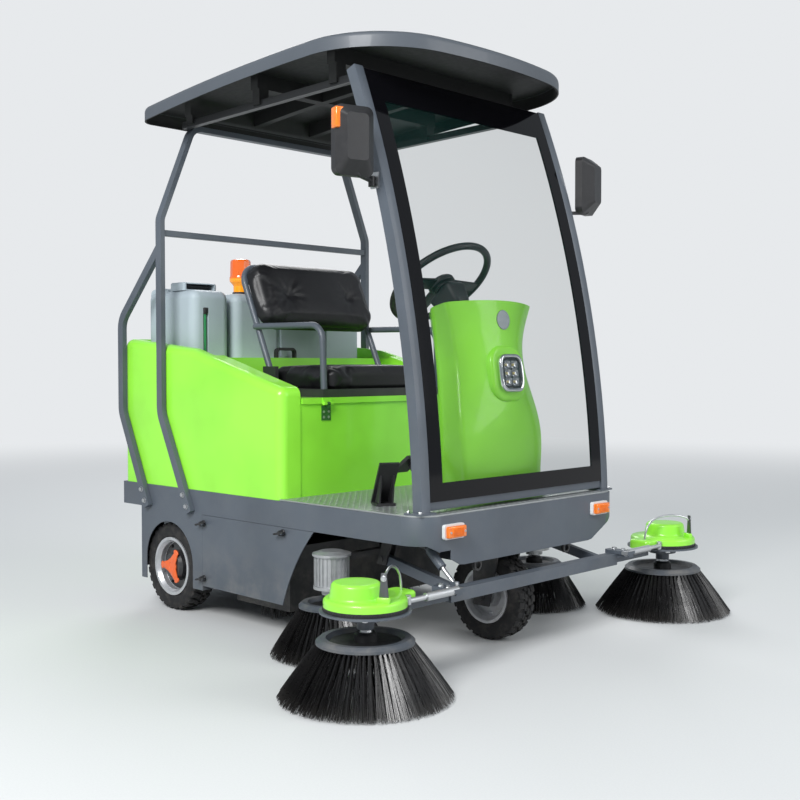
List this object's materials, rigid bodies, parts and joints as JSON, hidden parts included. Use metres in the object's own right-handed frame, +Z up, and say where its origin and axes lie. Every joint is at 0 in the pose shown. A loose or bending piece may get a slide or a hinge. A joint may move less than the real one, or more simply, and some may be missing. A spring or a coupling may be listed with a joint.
{
  "type": "road sweeper",
  "caption": "Compact three-wheeled ride-on road sweeper with canopy, windscreen, roller brush, side brushes on a front bar, hopper and tanks.",
  "frame": {"origin": "on the ground under the centre of the whole machine's box, at rest", "axes": "+X forward, +Y to the driver's left, +Z up"},
  "size_m": [2.024, 2.18, 2.0998],
  "materials": {
    "black_paint": "satin",
    "grey_paint": "satin",
    "green_paint": "gloss",
    "rim_paint": "satin",
    "tyre": "matte",
    "tread_plate": "satin",
    "tank_plastic": "satin",
    "glass": "clear",
    "black_plastic": "satin",
    "battery_case": "matte",
    "seat_cover": "satin",
    "bare_metal": "satin",
    "lamp_lens": "clear lens over a bright reflector",
    "beacon_lens": "gloss",
    "amber_lens": "gloss",
    "cast_aluminium": "satin",
    "bristle": "matte"
  },
  "bodies": {
    "machine": {"chassis_frame": "black_paint", "brush_housing": "black_paint", "pedals": "black_paint", "chassis_skirt": "grey_paint", "side_panel_left": "grey_paint", "side_panel_right": "grey_paint", "windscreen_frame": "grey_paint", "roll_hoop": "grey_paint", "canopy_roof": "grey_paint", "rear_body": "green_paint", "seat_box": "green_paint", "lid_hinges": "green_paint", "steering_column": "green_paint", "floor_plate": "tread_plate", "water_tanks": "tank_plastic", "filter_hood": "tank_plastic", "windscreen_glass": "glass", "dash_panel": "black_plastic", "deck_handle": "black_plastic", "mirror_left": "black_plastic", "mirror_right": "black_plastic", "battery_pack": "battery_case", "headlight": "lamp_lens", "beacon": "beacon_lens", "marker_lamps": "amber_lens"},
    "steering": {"steering_fork": "black_paint"},
    "front_wheel": {"front_tyre": "tyre", "front_rim": "rim_paint"},
    "rear_wheel_left": {"rear_tyre_left": "tyre", "rear_rim_left": "rim_paint"},
    "rear_wheel_right": {"rear_tyre_right": "tyre", "rear_rim_right": "rim_paint"},
    "steering_wheel": {"steering_wheel": "black_plastic"},
    "front_brush_frame": {"front_crossbar": "grey_paint", "brush_carrier_left": "grey_paint", "brush_carrier_right": "grey_paint", "brush_cover_left": "green_paint", "brush_cover_right": "green_paint", "breakaway_links": "bare_metal"},
    "front_brush_left": {"front_brush_disc_left": "cast_aluminium", "front_brush_bristles_left": "bristle"},
    "front_brush_right": {"front_brush_disc_right": "cast_aluminium", "front_brush_bristles_right": "bristle"},
    "mid_arm_left": {"mid_brush_arm_left": "black_paint", "mid_brush_motor_left": "cast_aluminium"},
    "mid_arm_right": {"mid_brush_arm_right": "black_paint", "mid_brush_motor_right": "cast_aluminium"},
    "mid_brush_left": {"mid_brush_disc_left": "cast_aluminium", "mid_brush_bristles_left": "bristle"},
    "mid_brush_right": {"mid_brush_disc_right": "cast_aluminium", "mid_brush_bristles_right": "bristle"},
    "roller": {"roller_brush": "bristle"},
    "hopper": {"debris_hopper": "grey_paint"},
    "seat": {"seat_lid": "green_paint", "seat_pan": "black_paint", "seat_frame": "grey_paint", "seat_cushion": "seat_cover", "seat_back": "seat_cover"},
    "lift_tube": {"lift_actuator_tube": "grey_paint"},
    "lift_rod": {"lift_actuator_rod": "bare_metal"}
  },
  "joints": [
    {"name": "steer", "type": "hinge", "parent": "machine", "child": "steering", "pos_m": [0.571, 0, 0.4], "axis": [0, 0, 1], "range_deg": [-40, 40]},
    {"name": "front_wheel_spin", "type": "hinge", "parent": "steering", "child": "front_wheel", "pos_m": [0.551, 0, 0.16], "axis": [0, 1, 0], "continuous": true},
    {"name": "rear_wheel_left_spin", "type": "hinge", "parent": "machine", "child": "rear_wheel_left", "pos_m": [-0.671, 0.488, 0.175], "axis": [0, 1, 0], "continuous": true},
    {"name": "rear_wheel_right_spin", "type": "hinge", "parent": "machine", "child": "rear_wheel_right", "pos_m": [-0.671, -0.488, 0.175], "axis": [0, 1, 0], "continuous": true},
    {"name": "steering_wheel_turn", "type": "hinge", "parent": "machine", "child": "steering_wheel", "pos_m": [0.299, 0, 1.283], "axis": [-0.6374, 0, 0.7705], "range_deg": [-240, 240]},
    {"name": "front_brush_lift", "type": "hinge", "parent": "machine", "child": "front_brush_frame", "pos_m": [0.404, 0, 0.318], "axis": [0, -1, 0], "range_deg": [0, 8]},
    {"name": "front_brush_left_spin", "type": "hinge", "parent": "front_brush_frame", "child": "front_brush_left", "pos_m": [0.747, 0.825, 0.2], "axis": [0, 0, 1], "continuous": true},
    {"name": "mid_brush_left_lift", "type": "hinge", "parent": "machine", "child": "mid_arm_left", "pos_m": [0.309, 0.3, 0.33], "axis": [1, 0, 0], "range_deg": [0, 8]},
    {"name": "mid_brush_left_spin", "type": "hinge", "parent": "mid_arm_left", "child": "mid_brush_left", "pos_m": [0.309, 0.56, 0.2], "axis": [0, 0, 1], "continuous": true},
    {"name": "front_brush_right_spin", "type": "hinge", "parent": "front_brush_frame", "child": "front_brush_right", "pos_m": [0.747, -0.825, 0.2], "axis": [0, 0, 1], "continuous": true},
    {"name": "mid_brush_right_lift", "type": "hinge", "parent": "machine", "child": "mid_arm_right", "pos_m": [0.309, -0.3, 0.33], "axis": [-1, 0, 0], "range_deg": [0, 8]},
    {"name": "mid_brush_right_spin", "type": "hinge", "parent": "mid_arm_right", "child": "mid_brush_right", "pos_m": [0.309, -0.56, 0.2], "axis": [0, 0, 1], "continuous": true},
    {"name": "roller_spin", "type": "hinge", "parent": "machine", "child": "roller", "pos_m": [-0.241, 0, 0.135], "axis": [0, 1, 0], "continuous": true},
    {"name": "hopper_slide", "type": "slide", "parent": "machine", "child": "hopper", "axis": [-1, 0, 0], "range_m": [0, 0.33]},
    {"name": "seat_tilt", "type": "hinge", "parent": "machine", "child": "seat", "pos_m": [0.04, 0, 0.838], "axis": [0, 1, 0], "range_deg": [0, 50]},
    {"name": "lift_tube_swing", "type": "hinge", "parent": "machine", "child": "lift_tube", "pos_m": [0.629, -0.44, 0.396], "axis": [0, -1, 0], "range_deg": [0, 15.4]},
    {"name": "lift_rod_slide", "type": "slide", "parent": "lift_tube", "child": "lift_rod", "axis": [0.7497, 0, -0.6618], "range_m": [-0.03, 0]}
  ],
  "couplings": [
    {"joint": "steering_wheel_turn", "follows": "steer", "ratio": 6},
    {"joint": "lift_tube_swing", "follows": "front_brush_lift", "ratio": 1.8678},
    {"joint": "lift_rod_slide", "follows": "front_brush_lift", "m_per_rad": -0.19323}
  ]
}
